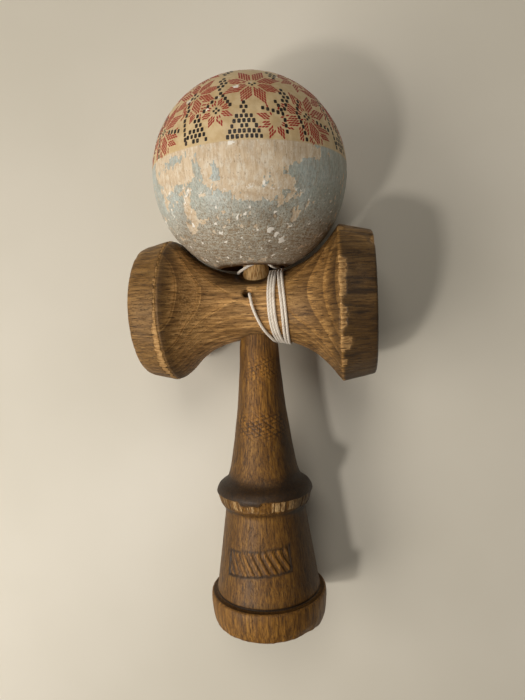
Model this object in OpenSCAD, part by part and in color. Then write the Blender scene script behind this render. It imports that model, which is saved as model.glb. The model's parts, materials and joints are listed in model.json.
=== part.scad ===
// Kendama lying on a table: a turned handle (ken) with a spike, a cross piece
// with two cups (sarado), a bored ball (tama) on the spike, and the string.
// Row frame: Z up from the table, +Y along the handle towards the spike,
// +X towards the big cup, origin under the middle of the object.

/* [Handle] */
// Distance from the handle's base to the cross piece's axis (mm)
cross_at = 102.6; // [100:0.2:106]
// Length of the spike, from the cross piece's axis to its tip (mm)
spike_length = 45.4; // [38:0.2:45.6]
// Diameter of the base disc at its fullest (mm)
base_diameter = 38.2; // [36.6:0.2:39]
// Height of the base disc, to its upper edge (mm)
base_height = 9.7; // [9:0.1:11]
// Diameter of the grip where it meets the base disc (mm)
foot_diameter = 34; // [31:0.2:34.4]
// Diameter of the waist under the flange (mm)
waist_diameter = 26.4; // [24:0.2:28]
// Diameter of the flange (mm)
flange_diameter = 31.6; // [30:0.2:34]
// Height of the flange's edge above the base (mm)
flange_at = 42.9; // [41:0.1:45]
// Diameter of the tapered tenon at the cross piece's axis (mm)
tenon_diameter = 10.4; // [9.6:0.1:11]
// Diameter of the spike's rounded tip (mm)
tip_diameter = 4.6; // [3.6:0.1:5.2]
// Diameter of the base cup's mouth (mm)
base_cup_diameter = 31; // [27:0.2:31.4]
// Depth of the base cup (mm)
base_cup_depth = 6.5; // [4:0.1:7.5]

/* [Cross piece] */
// Diameter of the cross piece's waist (mm)
cross_waist = 20.8; // [19.6:0.1:21.6]
// Diameter of the big cup's ridge (mm)
big_ridge = 49.3; // [47:0.1:49.6]
// Distance from the handle's axis to the big cup's ridge (mm)
big_ridge_at = 26.9; // [26:0.1:28]
// Diameter of the big cup's end face (mm)
big_end = 43.9; // [42:0.1:46]
// Distance from the handle's axis to the big cup's end face (mm)
big_end_at = 37.1; // [35:0.1:39]
// Diameter of the small cup's ridge (mm)
small_ridge = 45.7; // [44:0.1:46.6]
// Distance from the handle's axis to the small cup's ridge (mm)
small_ridge_at = 27; // [26:0.1:28]
// Diameter of the small cup's end face (mm)
small_end = 41.3; // [39:0.1:43]
// Distance from the handle's axis to the small cup's end face (mm)
small_end_at = 36.2; // [34:0.1:38]
// Depth of the big cup (mm)
big_cup_depth = 11; // [8:0.1:12]
// Depth of the small cup (mm)
small_cup_depth = 9; // [7:0.1:10]
// Diameter of the string's hole in the cross piece (mm)
string_hole = 2.6; // [2:0.1:3]

/* [Ball] */
// Diameter of the ball (mm)
ball_diameter = 60; // [59.6:0.1:60.4]
// Distance from the cross piece's axis to the ball's centre (mm)
ball_at = 40.3; // [40.2:0.1:40.8]
// Diameter of the hole that takes the spike (mm)
ball_hole = 20.6; // [19.6:0.1:21.4]
// Depth of that hole below its mouth (mm)
ball_hole_depth = 42; // [41.8:0.1:43]

/* [String] */
// Diameter of the string (mm)
string_d = 1; // [0.8:0.1:1]
// Diameter of the bead on the string's end (mm)
bead_d = 6; // [5:0.1:6]

/* [Hidden] */
N = 96;           // facets round the big turned pieces
wood = [0.52, 0.36, 0.20];
pale = [0.74, 0.66, 0.52];
cord = [0.90, 0.87, 0.80];

// how the object lies: it rests on the base disc, both ridges and the ball
rest_at = 7.5;
rest_r = base_diameter / 2;
foot_rim = rest_r - 1.6;
roll_z = atan((big_ridge - small_ridge) / 2 / (big_ridge_at + small_ridge_at));
cross_h = big_ridge / 2 * cos(roll_z) - big_ridge_at * sin(roll_z);
reach = cross_at - rest_at;
tilt = asin(cross_h / sqrt(reach * reach + rest_r * rest_r)) - atan(rest_r / reach);
roll = asin(sin(roll_z) / cos(tilt));
base_h = rest_r * cos(tilt) - rest_at * sin(tilt);
ball_r = ball_diameter / 2;
ball_t = cross_at + ball_at;
ball_up = (ball_r - base_h - ball_t * sin(tilt)) / (cos(tilt) * cos(roll));
// the object's extent without the string puts the origin under its middle
mid_x = ((big_end_at - small_end_at) * cos(roll) + (big_end - small_end) / 2 * sin(roll)) / 2;
low_y = -foot_rim * sin(tilt) * cos(roll);
high_y = ball_t * cos(tilt) - ball_up * sin(tilt) * cos(roll) + ball_r;
mid_y = (low_y + high_y) / 2;

// a point of the handle's own frame (x across, y along, z up) in the row frame
function laid(p) = let (
    x = p[0] * cos(roll) - p[2] * sin(roll), z = p[0] * sin(roll) + p[2] * cos(roll))
    [x - mid_x, p[1] * cos(tilt) - z * sin(tilt) - mid_y,
     p[1] * sin(tilt) + z * cos(tilt) + base_h];
module lay_down() {
    translate([-mid_x, -mid_y, base_h]) rotate([tilt, 0, 0]) rotate([0, -roll, 0]) children();
}
module along_y() { rotate([-90, 0, 0]) children(); }
module along_x() { rotate([90, 0, 90]) children(); }

// the handle
neck_t = cross_at - 11;
neck_r = tenon_diameter / 2 + 0.95;
shoulder_t = flange_at + 6;
shoulder_r = 11.5;
tip_r = tip_diameter / 2;
ken_end = cross_at + spike_length;
function tenon_r(t) = tenon_diameter / 2 - 0.085 * (t - cross_at);
spike_r0 = tenon_r(cross_at + 11.5);
hole_ang = 24;     // the string's hole leans this far from the front to the spike
hole_x = -1.5;
anchor_d = 2.3;    // knot in the handle's cross hole
ken_points = concat(
    [for (a = [0:10:80]) [base_cup_diameter / 2 * sin(a), base_cup_depth * cos(a)]],
    [[base_cup_diameter / 2, 0], [foot_rim, 0], [foot_rim + 0.5, 0.2], [foot_rim + 0.9, 0.9],
     [rest_r - 0.35, 3.3], [rest_r - 0.15, 5.2], [rest_r, rest_at],
     [rest_r - 0.05, base_height - 0.4], [rest_r - 0.35, base_height],
     [rest_r - 1, base_height - 0.3], [foot_diameter / 2, base_height - 0.1],
     [foot_diameter / 2 - 0.1, base_height + 1]],
    [for (s = [0:0.2:1]) [foot_diameter / 2 - 0.5 - (foot_diameter / 2 - 0.5 - waist_diameter / 2) * s,
        base_height + 4 + (flange_at - 7 - base_height - 4) * s]],
    [[waist_diameter / 2 + 0.25, flange_at - 5.6], [waist_diameter / 2 + 0.9, flange_at - 4.2],
     [flange_diameter / 2 - 0.9, flange_at - 2.6], [flange_diameter / 2 - 0.3, flange_at - 1.2],
     [flange_diameter / 2, flange_at], [flange_diameter / 2 - 0.2, flange_at + 0.9],
     [flange_diameter / 2 - 0.8, flange_at + 2], [flange_diameter / 2 - 1.8, flange_at + 2.8],
     [12.7, flange_at + 3.9], [12, flange_at + 4.8]],
    [for (s = [0:0.1:1]) [neck_r + (shoulder_r - neck_r) * pow(1 - s, 1.6),
        shoulder_t + (neck_t - shoulder_t) * s]],
    [[tenon_r(cross_at + 11.5), cross_at + 11.5]],
    [for (s = [0.25:0.25:0.75]) [spike_r0 + (tip_r - spike_r0) * s,
        cross_at + 11.5 + (spike_length - 11.5 - tip_r) * s]],
    [for (a = [0:22.5:67.5]) [tip_r * cos(a), ken_end - tip_r + tip_r * sin(a)]],
    [[0, ken_end]]);

module ken_hole(d, from, to) {
    translate([hole_x, cross_at, 0]) rotate([-hole_ang, 0, 0])
        translate([0, 0, from]) cylinder(d = d, h = to - from, $fn = 24);
}
module ken() {
    color(wood) lay_down() difference() {
        along_y() rotate_extrude($fn = N) polygon(ken_points);
        ken_hole(string_hole, -2, 8);
    }
}

// the cross piece
function flare(x, ridge, at, power) =
    cross_waist / 2 + (ridge / 2 - cross_waist / 2) * pow(abs(x) / at, power);
big_rim = big_end / 2 - 2.2;
small_rim = small_end / 2 - 2.1;
function cup(rim, depth, end, side) = [for (a = [0:10:80])
    [rim * sin(a), side * (end - depth * cos(a))]];
function band(end, end_at, ridge, at, side) = [
    [end / 2 - 0.6, side * end_at], [end / 2 + 0.1, side * (end_at - 0.5)],
    [end / 2 + 0.5, side * (end_at - 1.5)],
    [(end + ridge) / 4 + 0.25, side * (end_at + at) / 2],
    [ridge / 2 - 0.35, side * (at + 1.3)], [ridge / 2, side * at],
    [ridge / 2 - 0.5, side * (at - 0.4)]];
function turned(list) = [for (i = [len(list) - 1:-1:0]) list[i]];
cross_points = concat(
    cup(small_rim, small_cup_depth, small_end_at, -1), [[small_rim, -small_end_at]],
    band(small_end, small_end_at, small_ridge, small_ridge_at, -1),
    [for (x = [-24, -21, -18, -15, -12, -9, -6, -3]) [flare(x, small_ridge, small_ridge_at, 2.35), x]],
    [[cross_waist / 2, 0]],
    [for (x = [3, 6, 9, 12, 15, 18, 21, 24]) [flare(x, big_ridge, big_ridge_at, 2.7), x]],
    turned(band(big_end, big_end_at, big_ridge, big_ridge_at, 1)),
    [[big_rim, big_end_at]], turned(cup(big_rim, big_cup_depth, big_end_at, 1)));

module sarado() {
    color(wood) lay_down() difference() {
        translate([0, cross_at, 0]) along_x() rotate_extrude($fn = N) polygon(cross_points);
        translate([0, cross_at - 13, 0]) along_y()
            cylinder(r1 = tenon_r(cross_at - 13) - 0.01, r2 = tenon_r(cross_at + 13) - 0.01, h = 26, $fn = N);
        ken_hole(string_hole, 0, 13);
    }
}

// the ball
mouth_r = ball_hole / 2 + 0.4;
mouth_at = sqrt(ball_r * ball_r - mouth_r * mouth_r);
hole_end = ball_hole_depth - mouth_at;
top_hole = 2.6;
top_r = top_hole / 2;
ball_points = concat(
    [[mouth_r, -mouth_at], [ball_hole / 2, -mouth_at + 0.8], [ball_hole / 2, hole_end - 2],
     [ball_hole / 2 - 1, hole_end - 0.8], [5, hole_end], [top_r, hole_end],
     [top_r, ball_r - 1], [top_r + 0.5, sqrt(ball_r * ball_r - (top_r + 0.5) * (top_r + 0.5))]],
    [for (a = [81:-7.5:-60]) [ball_r * cos(a), ball_r * sin(a)]]);
module at_ball() { lay_down() translate([0, ball_t, ball_up]) along_y() children(); }
module tama() {
    color(pale) at_ball() rotate_extrude($fn = N) polygon(ball_points);
}

// the bead and the knot that hold the string's end in the ball
bead_top = hole_end - 0.3;
bead_len = bead_d - 0.4;
bead_bore = string_d / 2 + 0.3;
module bead() {
    color(pale) at_ball() translate([0, 0, bead_top - bead_len]) rotate_extrude($fn = 36)
        polygon(concat([[bead_bore, 0.3], [bead_bore, bead_len - 0.3]],
            [for (a = [60:-15:-60]) [1.2 + (bead_d / 2 - 1.2) * cos(a), bead_len / 2 * (1 + sin(a) / sin(60))]]));
}
knot_d = 2.2;
module knot(d, h) {
    rotate_extrude($fn = 24) polygon([[0, 0], [d * 0.3, 0], [d * 0.48, h * 0.2], [d * 0.5, h * 0.33],
        [d * 0.43, h * 0.5], [d * 0.5, h * 0.67], [d * 0.48, h * 0.8], [d * 0.3, h], [0, h]]);
}
module end_knot() {
    color(cord) at_ball() translate([0, 0, bead_top - bead_len - knot_d]) knot(knot_d, knot_d);
}
module anchor_knot() {
    color(cord) lay_down() translate([hole_x, cross_at, 0]) rotate([-hole_ang, 0, 0])
        translate([0, 0, -1]) knot(anchor_d, 2);
}

// the string: swept tubes that follow a smoothed route
function unit(v) = v / norm(v);
function bend(a, b, c, d, s) = 0.5 * ((2 * b) + (c - a) * s
    + (2 * a - 5 * b + 4 * c - d) * s * s + (3 * b - a - 3 * c + d) * s * s * s);
function smooth(p, step) = concat([for (i = [0:len(p) - 2]) let (
        a = p[max(i - 1, 0)], b = p[i], c = p[i + 1], d = p[min(i + 2, len(p) - 1)],
        n = max(1, round(norm(c - b) / step)))
        for (k = [0:n - 1]) bend(a, b, c, d, k / n)], [p[len(p) - 1]]);
function tangents(p) = [for (i = [0:len(p) - 1])
    unit(p[min(i + 1, len(p) - 1)] - p[max(i - 1, 0)])];
function normals(t) = [for (i = 0, n = unit(cross(t[0], [0.3, 0.2, 0.9])); i < len(t);
    i = i + 1, n = i < len(t) ? unit(n - (n * t[i]) * t[i]) : n) n];
module tube(route, d, step) {
    p = smooth(route, step);
    t = tangents(p);
    n = normals(t);
    k = 8;
    m = len(p);
    polyhedron(
        points = [for (i = [0:m - 1]) let (b = cross(t[i], n[i])) for (j = [0:k - 1])
            p[i] + d / 2 * (cos(j * 360 / k) * n[i] + sin(j * 360 / k) * b)],
        faces = concat([[for (j = [0:k - 1]) j]],
            [for (i = [0:m - 2]) for (j = [0:k - 1]) each let (
                a = i * k + j, b = i * k + (j + 1) % k, c = b + k, e = a + k)
                [[a, e, c], [a, c, b]]],
            [[for (j = [k - 1:-1:0]) (m - 1) * k + j]]));
}

// a point round the cross piece: along it, out from its axis, and turned from the front
function round_cross(x, r, ang) = [x, cross_at + r * sin(ang), r * cos(ang)];
hug = string_d / 2 + 0.15;
lead_route = [
    round_cross(hole_x, 1, hole_ang), round_cross(hole_x, 5, hole_ang), round_cross(hole_x, 9.5, hole_ang),
    round_cross(-1.3, cross_waist / 2 + 0.3, 22), round_cross(-0.9, cross_waist / 2 + hug, 16),
    round_cross(0.1, cross_waist / 2 + hug, 0), round_cross(1.3, cross_waist / 2 + hug, -18),
    round_cross(2.7, cross_waist / 2 + 0.1 + hug, -36), round_cross(4.8, cross_waist / 2 + 0.2 + hug, -60)];
module string_lead() {
    color(cord) tube([for (p = lead_route) laid(p)], string_d, 2.4);
}

// the turns lie side by side round the waist, just past the handle and clear of the ball
wind_from = 6.7;
wind_to = 9.9;
wind_r = ball_at - mouth_at - 0.3;
module string_winding() {
    color(cord) lay_down() translate([0, cross_at, 0]) along_x() rotate_extrude($fn = 48)
        polygon(concat(
            [for (x = [wind_from, 8, 9, wind_to]) [flare(x, big_ridge, big_ridge_at, 2.7) + 0.07, x]],
            [for (x = [wind_to, 9, 8, wind_from])
                [min(flare(x, big_ridge, big_ridge_at, 2.7) + string_d, wind_r), x]]));
}

// from the turns in front of the spike, down its far side to the table, along
// the table beside the ball, up behind it and in through its top hole
function beside(x, y, z) = [x - mid_x, cross_at * cos(tilt) + y - mid_y, z];
function on_ball(y, x, z) = laid([x, ball_t + y, ball_up + z]);
tail_route = [
    laid([5.7, cross_at + 12.5, 3.4]), laid([4, cross_at + 13.2, 5]), laid([1.8, cross_at + 13.2, 5.2]),
    laid([-0.8, cross_at + 12.5, 5.2]), laid([-3, cross_at + 12, 4.4]), laid([-5, cross_at + 11.5, 2]),
    laid([-5.8, cross_at + 11.2, -1]), laid([-5.2, cross_at + 11.2, -5]),
    beside(-5, 11, 13), beside(-6, 12.5, 5), beside(-8, 18, 1.2),
    beside(-10, 27, 0.7), beside(-11, 38, 0.7), beside(-9.5, 49, 0.7), beside(-7, 59, 1.2),
    beside(-4, 67, 4.5), beside(-1.5, 71.5, 11), beside(-0.3, 73, 20), beside(0, 73, 27.4),
    on_ball(ball_r + 2.2, 0, -1), on_ball(ball_r + 0.9, 0, 0), on_ball(ball_r - 2, 0, 0),
    on_ball(ball_r - 8, 0, 0), on_ball(bead_top - bead_len, 0, 0)];
module string_tail() {
    color(cord) tube(tail_route, string_d, 2.8);
}

ken();
sarado();
tama();
bead();
end_knot();
anchor_knot();
string_lead();
string_winding();
string_tail();
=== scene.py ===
"""A well-used kendama lying on a pale table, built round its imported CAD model.

The turned pieces are lathed in their own frames (millimetres, local Z along
the axis they were turned about) and placed by the CAD's joints and mounts.
"""
import itertools
import json
import math

import bpy
import numpy as np
from mathutils import Matrix, Vector


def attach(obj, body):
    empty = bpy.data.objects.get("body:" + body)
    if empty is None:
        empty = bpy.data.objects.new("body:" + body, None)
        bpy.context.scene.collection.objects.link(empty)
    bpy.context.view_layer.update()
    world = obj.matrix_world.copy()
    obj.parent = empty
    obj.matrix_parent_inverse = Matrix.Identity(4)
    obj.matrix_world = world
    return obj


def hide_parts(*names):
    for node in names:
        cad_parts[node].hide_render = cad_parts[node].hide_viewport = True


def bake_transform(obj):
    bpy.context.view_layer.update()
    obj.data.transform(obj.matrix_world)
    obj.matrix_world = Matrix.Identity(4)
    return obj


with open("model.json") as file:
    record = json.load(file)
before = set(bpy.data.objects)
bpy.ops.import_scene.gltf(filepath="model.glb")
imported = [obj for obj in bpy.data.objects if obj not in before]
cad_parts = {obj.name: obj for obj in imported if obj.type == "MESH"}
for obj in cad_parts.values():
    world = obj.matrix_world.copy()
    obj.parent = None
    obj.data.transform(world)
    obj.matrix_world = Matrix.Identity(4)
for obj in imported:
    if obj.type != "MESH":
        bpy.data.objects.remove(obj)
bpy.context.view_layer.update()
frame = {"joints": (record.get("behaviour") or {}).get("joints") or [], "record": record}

MM = 0.001

# ---------------- sizes in mm, as in the CAD, and DRAWN_D for the string as drawn
CROSS_AT = 102.6
SPIKE_END = 148.0
TENON_R = 5.2
TENON_TAPER = 0.085
TIP_R = 2.3
CONE_R = 15.1
BASE_CUP_R = 15.5
BASE_CUP_DEPTH = 6.5
BIG = {"ridge": 24.65, "ridge_at": 26.9, "end": 21.95, "end_at": 37.1, "depth": 11.0, "lip": 2.2}
SMALL = {"ridge": 22.85, "ridge_at": 27.0, "end": 20.65, "end_at": 36.2, "depth": 9.0, "lip": 2.1}
BALL_R = 30.0
BALL_HOLE_R = 10.3
BALL_HOLE_DEPTH = 42.0
BEAD_LENGTH = 5.6
# the bore's end and the bead below it, as heights above the ball's middle
HOLE_END = BALL_HOLE_DEPTH - math.sqrt(BALL_R**2 - (BALL_HOLE_R + 0.4) ** 2)
BEAD_AT = HOLE_END - 0.3 - BEAD_LENGTH
STRING_D = 1.0
DRAWN_D = 0.92
WAIST_R = 10.4
# the base rim's mount above the handle's axis
RIM_ABOVE = 16.5
HOLE_X = -1.5
HOLE_ANG = 24.0
HOLE_D = 2.6

# ---------------- frames
joints = {j["name"]: j for j in frame["joints"]}
mounts = {m["name"]: m for m in frame["record"]["mounts"]}
axis = Vector(joints["ball_slide"]["axis"]).normalized()
ball_centre = Vector(joints["ball_spin"]["pos_m"])
tilt = math.asin(axis.z)
lean = math.atan((BIG["ridge"] - SMALL["ridge"]) / (BIG["ridge_at"] + SMALL["ridge_at"]))
roll = math.asin(math.sin(lean) / math.cos(tilt))
turn = Matrix.Rotation(tilt, 4, "X") @ Matrix.Rotation(-roll, 4, "Y")
rim_point = Vector(mounts["base_rim"]["pos_m"])
base_point = rim_point - turn @ Vector((0, 0, RIM_ABOVE * MM))
# ken frame: x across, y along the handle, z up, metres from the base's middle
KEN = Matrix.Translation(base_point) @ turn
ALONG_Y = Matrix.Rotation(math.radians(-90), 4, "X")
ALONG_X = Matrix.Rotation(math.radians(90), 4, "Z") @ Matrix.Rotation(math.radians(90), 4, "X")
AT_HANDLE = KEN @ ALONG_Y
AT_CROSS = KEN @ Matrix.Translation((0, CROSS_AT * MM, 0)) @ ALONG_X
AT_BALL = Matrix.Translation(ball_centre) @ turn @ ALONG_Y


def in_row(p):
    """A point of the ken frame, in millimetres, as a row-frame vector in metres."""
    return KEN @ (Vector(p) * MM)


def add_object(name, data):
    obj = bpy.data.objects.new(name, data)
    bpy.context.scene.collection.objects.link(obj)
    return obj


# ---------------- camera
camera = add_object("camera", bpy.data.cameras.new("camera"))
camera.location = (0.02092, 0.00449, 0.19442)
camera.rotation_euler = [math.radians(a) for a in (-0.854, 6.742, -2.023)]
camera.data.lens = 27.14
camera.data.sensor_width = 36
camera.data.clip_start = 0.01
bpy.context.scene.camera = camera
bpy.context.scene.view_settings.view_transform = "Standard"


# ---------------- numbers
def rise(x, low, high):
    """0 below low and 1 above high."""
    s = np.clip((x - low) / (high - low), 0, 1)
    return s * s * (3 - 2 * s)


def fall(x, end, gone):
    return 1 - rise(x, end, gone)


def span(x, low, high, end, gone):
    """0 below low, 1 from high to end, and 0 beyond gone."""
    return rise(x, low, high) * fall(x, end, gone)


def hump(away, width):
    """1 where away is 0, falling to 0 over about twice the width."""
    return np.exp(-((away / width) ** 2))


def patch(a, b):
    """1 where both a and b are well between -1 and 1, and 0 beyond."""
    return np.exp(-(a**4) - b**4)


def wrapped(ang, r, h):
    """Points at angle ang and height h on a cylinder, so that noise runs round it without a seam."""
    return np.stack([np.cos(ang) * r, np.sin(ang) * r, h], 1)


def lattice(i, j, k, seed):
    """A repeatable random share from 0 to 1 for each cell of a lattice."""
    h = np.uint32((seed * 3266489917) % 2**32)
    for cell, factor in ((i, 374761393), (j, 668265263), (k, 2246822519)):
        h = h + cell.astype(np.uint32) * np.uint32(factor)
    h = (h ^ (h >> np.uint32(13))) * np.uint32(1274126177)
    return ((h ^ (h >> np.uint32(16))) & np.uint32(0xFFFFFF)) / float(0xFFFFFF)


def noise(p, size=1.0, seed=1):
    """Smooth value noise from -1 to 1 at points p (n x 3), one cell to `size`."""
    q = np.asarray(p, float) / np.asarray(size, float)
    cell = np.floor(q).astype(np.int64)
    f = q - cell
    f = f * f * (3 - 2 * f)
    total = 0
    for corner in itertools.product((0, 1), repeat=3):
        x, y, z = np.where(corner, f, 1 - f).T
        total = total + x * y * z * lattice(*(cell + corner).T, seed)
    return total * 2 - 1


def fractal(p, size, octaves=4, seed=1, gain=0.5):
    """Noise with finer octaves added, each half the size and gain times the weight of the one before."""
    p, size = np.asarray(p, float), np.asarray(size, float)
    total, weight, share = 0, 1.0, 0
    for o in range(octaves):
        total = total + weight * noise(p, size / 2**o, seed + 17 * o)
        share += weight
        weight *= gain
    return total / share


def line_noise(s, size, seed=1, octaves=1):
    """Noise along one coordinate."""
    s = np.asarray(s, float)
    p = np.stack([s.ravel(), np.full(s.size, 0.37), np.full(s.size, 0.61)], 1)
    return fractal(p, (size, 1, 1), octaves, seed).reshape(s.shape)


# ---------------- meshes
def rounded(points, step, fine=()):
    """Close points on a profile of (radius, height[, fillet]) corners; fine lists (low, high, step) stretches."""
    corners = [np.array(p[:2], float) for p in points]
    fillets = [p[2] if len(p) > 2 else 0 for p in points]
    out = [corners[0]]
    for i in range(1, len(corners) - 1):
        a, b, c, f = corners[i - 1], corners[i], corners[i + 1], fillets[i]
        if f <= 0:
            out.append(b)
            continue
        u, v = a - b, c - b
        fa, fb = min(f, np.linalg.norm(u) * 0.48), min(f, np.linalg.norm(v) * 0.48)
        p0, p2 = b + u / np.linalg.norm(u) * fa, b + v / np.linalg.norm(v) * fb
        out += [p0 * (1 - s) ** 2 + 2 * b * s * (1 - s) + p2 * s * s for s in np.linspace(0, 1, 7)]
    out.append(corners[-1])
    dense = [out[0]]
    for a, b in zip(out, out[1:]):
        middle = (a[1] + b[1]) / 2
        here = min([step] + [s for low, high, s in fine if low <= middle <= high])
        n = max(1, int(math.ceil(np.linalg.norm(b - a) / here)))
        dense += [a + (b - a) * k / n for k in range(1, n + 1)]
    return np.array([p for i, p in enumerate(dense) if i == 0 or np.linalg.norm(p - dense[i - 1]) > 1e-4])


def mesh_object(name, vertices, faces, matrix=None, smooth=True):
    mesh = bpy.data.meshes.new(name)
    mesh.from_pydata([tuple(v) for v in vertices], [], [tuple(f) for f in faces])
    mesh.validate()
    mesh.update()
    if smooth:
        mesh.shade_smooth()
    obj = add_object(name, mesh)
    if matrix is not None:
        obj.matrix_world = matrix
    return obj


def lathe(name, profile, turns, matrix, closed=False):
    """Turns a profile of (radius, height) in millimetres about local Z. A closed profile joins its ends."""
    vertices, faces, rings = [], [], []
    angles = np.arange(turns) * 2 * math.pi / turns
    for r, h in profile:
        if r < 1e-6:
            rings.append([len(vertices)])
            vertices.append((0, 0, h * MM))
            continue
        rings.append(list(range(len(vertices), len(vertices) + turns)))
        vertices += [(r * MM * c, r * MM * s, h * MM) for c, s in zip(np.cos(angles), np.sin(angles))]
    pairs = list(zip(rings, rings[1:])) + ([(rings[-1], rings[0])] if closed else [])
    for a, b in pairs:
        for k in range(turns):
            n = (k + 1) % turns
            if len(a) == 1:
                faces.append((a[0], b[n], b[k]))
            elif len(b) == 1:
                faces.append((a[k], a[n], b[0]))
            else:
                faces.append((a[k], a[n], b[n], b[k]))
    return mesh_object(name, vertices, faces, matrix)


def points_of(obj):
    """The mesh's points in its own frame, in millimetres."""
    co = np.zeros(len(obj.data.vertices) * 3)
    obj.data.vertices.foreach_get("co", co)
    return co.reshape(-1, 3) / MM


def set_points(obj, p):
    obj.data.vertices.foreach_set("co", (p * MM).ravel())
    obj.data.update()


def paint(obj, **shares):
    """Numbers from 0 to 1 at each point, for the material to read by name."""
    for name, values in shares.items():
        attribute = obj.data.attributes.new(name, "FLOAT", "POINT")
        attribute.data.foreach_set("value", np.clip(values, 0, 1).astype(np.float32))


def cylindrical(p):
    """Radius, angle and height of points p."""
    return np.hypot(p[:, 0], p[:, 1]), np.arctan2(p[:, 1], p[:, 0]), p[:, 2]


def with_radius(p, r):
    """Points p moved in or out to radius r."""
    by = r / np.maximum(np.hypot(p[:, 0], p[:, 1]), 1e-9)
    return p * np.stack([by, by, np.ones(len(p))], 1)


# ---------------- materials
def linear(*rgb):
    """A colour of 0 to 255 a channel, as shaders take it."""
    shares = [c / 255 for c in rgb]
    return (*(s / 12.92 if s <= 0.04045 else ((s + 0.055) / 1.055) ** 2.4 for s in shares), 1.0)


class Nodes:
    """A small builder of node materials."""

    def __init__(self, name, roughness=0.5, specular=0.5):
        self.material = bpy.data.materials.new(name)
        self.material.use_nodes = True
        self.tree = self.material.node_tree
        self.tree.nodes.clear()
        self.out = self.tree.nodes.new("ShaderNodeOutputMaterial")
        self.shader = self.tree.nodes.new("ShaderNodeBsdfPrincipled")
        self.shader.inputs["Roughness"].default_value = roughness
        self.shader.inputs["Specular IOR Level"].default_value = specular
        self.tree.links.new(self.shader.outputs[0], self.out.inputs[0])

    def plug(self, socket, value):
        if isinstance(value, bpy.types.NodeSocket):
            self.tree.links.new(value, socket)
        elif value is not None:
            socket.default_value = value

    def node(self, kind, **settings):
        n = self.tree.nodes.new(kind)
        for key, value in settings.items():
            setattr(n, key, value)
        return n

    def coords(self, scale=(1, 1, 1), move=(0, 0, 0)):
        """Object coordinates in millimetres times scale."""
        m = self.node("ShaderNodeMapping")
        m.inputs["Scale"].default_value = [s / MM for s in scale]
        m.inputs["Location"].default_value = move
        self.plug(m.inputs["Vector"], self.node("ShaderNodeTexCoord").outputs["Object"])
        return m.outputs[0]

    def noise(self, scale, detail, rough, move=(0, 0, 0), distort=0.0):
        """Noise with `scale` features a millimetre along each axis."""
        n = self.node("ShaderNodeTexNoise")
        self.plug(n.inputs["Vector"], self.coords(scale, move))
        for name, value in (("Scale", 1.0), ("Detail", detail), ("Roughness", rough), ("Distortion", distort)):
            n.inputs[name].default_value = value
        return n.outputs[0]

    def math(self, operation, a, b):
        n = self.node("ShaderNodeMath", operation=operation)
        for socket, value in zip(n.inputs, (a, b)):
            self.plug(socket, value)
        return n.outputs[0]

    def add(self, a, b):
        return self.math("ADD", a, b)

    def sub(self, a, b):
        return self.math("SUBTRACT", a, b)

    def mul(self, a, b):
        return self.math("MULTIPLY", a, b)

    def fit(self, value, low, high, to_low=0.0, to_high=1.0, smooth=True):
        n = self.node("ShaderNodeMapRange", interpolation_type="SMOOTHSTEP" if smooth else "LINEAR")
        for socket, v in zip(n.inputs, (value, low, high, to_low, to_high)):
            self.plug(socket, v)
        return n.outputs[0]

    def mix(self, share, a, b, blend="MIX"):
        n = self.node("ShaderNodeMix", data_type="RGBA", blend_type=blend)
        n.clamp_factor = True
        self.plug(n.inputs[0], share)
        self.plug(n.inputs[6], a)
        self.plug(n.inputs[7], b)
        return n.outputs[2]

    def times(self, colour, factor):
        return self.mix(1.0, colour, factor, "MULTIPLY")

    def ramp(self, value, stops):
        n = self.node("ShaderNodeValToRGB")
        while len(n.color_ramp.elements) < len(stops):
            n.color_ramp.elements.new(0.5)
        for element, (place, colour) in zip(n.color_ramp.elements, stops):
            element.position, element.color = place, colour
        self.plug(n.inputs[0], value)
        return n.outputs[0]

    def attribute(self, name):
        return self.node("ShaderNodeAttribute", attribute_name=name).outputs["Fac"]

    def bump(self, height, distance, strength):
        n = self.node("ShaderNodeBump")
        n.inputs["Strength"].default_value = strength
        n.inputs["Distance"].default_value = distance * MM
        self.plug(n.inputs["Height"], height)
        return n.outputs[0]

    def finish(self, colour, roughness=None, normal=None):
        self.plug(self.shader.inputs["Base Color"], colour)
        self.plug(self.shader.inputs["Roughness"], roughness)
        self.plug(self.shader.inputs["Normal"], normal)
        return self.material


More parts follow.
